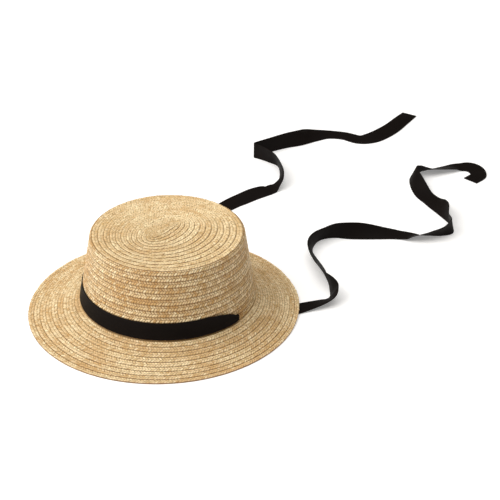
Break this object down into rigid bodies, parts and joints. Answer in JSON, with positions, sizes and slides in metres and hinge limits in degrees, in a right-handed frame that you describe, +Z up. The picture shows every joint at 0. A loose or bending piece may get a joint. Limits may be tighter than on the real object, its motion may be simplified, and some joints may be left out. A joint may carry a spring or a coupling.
{
  "type": "straw boater hat",
  "caption": "Braided straw boater: flat oval crown, sloping round brim, dark ribbon round the front whose ends pass through side slits and lie loose as ties.",
  "frame": {"origin": "middle of the brim's oval edge, on the surface that the hat rests on; the two loose ties are left out of this", "axes": "+Z up out of the crown's flat top, -Y towards the wearer's front, where the ribbon crosses the crown, +X towards the wearer's left"},
  "size_m": [0.2991, 0.679, 0.0945],
  "materials": {
    "crown_straw": "sewn rows of natural straw braid, slightly glossy",
    "brim_straw": "sewn rows of natural straw braid, slightly glossy",
    "ribbon": "woven ribbon, near black, soft sheen"
  },
  "bodies": {
    "root": {"crown": "crown_straw", "brim": "brim_straw", "hat_band": "ribbon", "left_tie": "ribbon", "right_tie": "ribbon"}
  },
  "joints": []
}
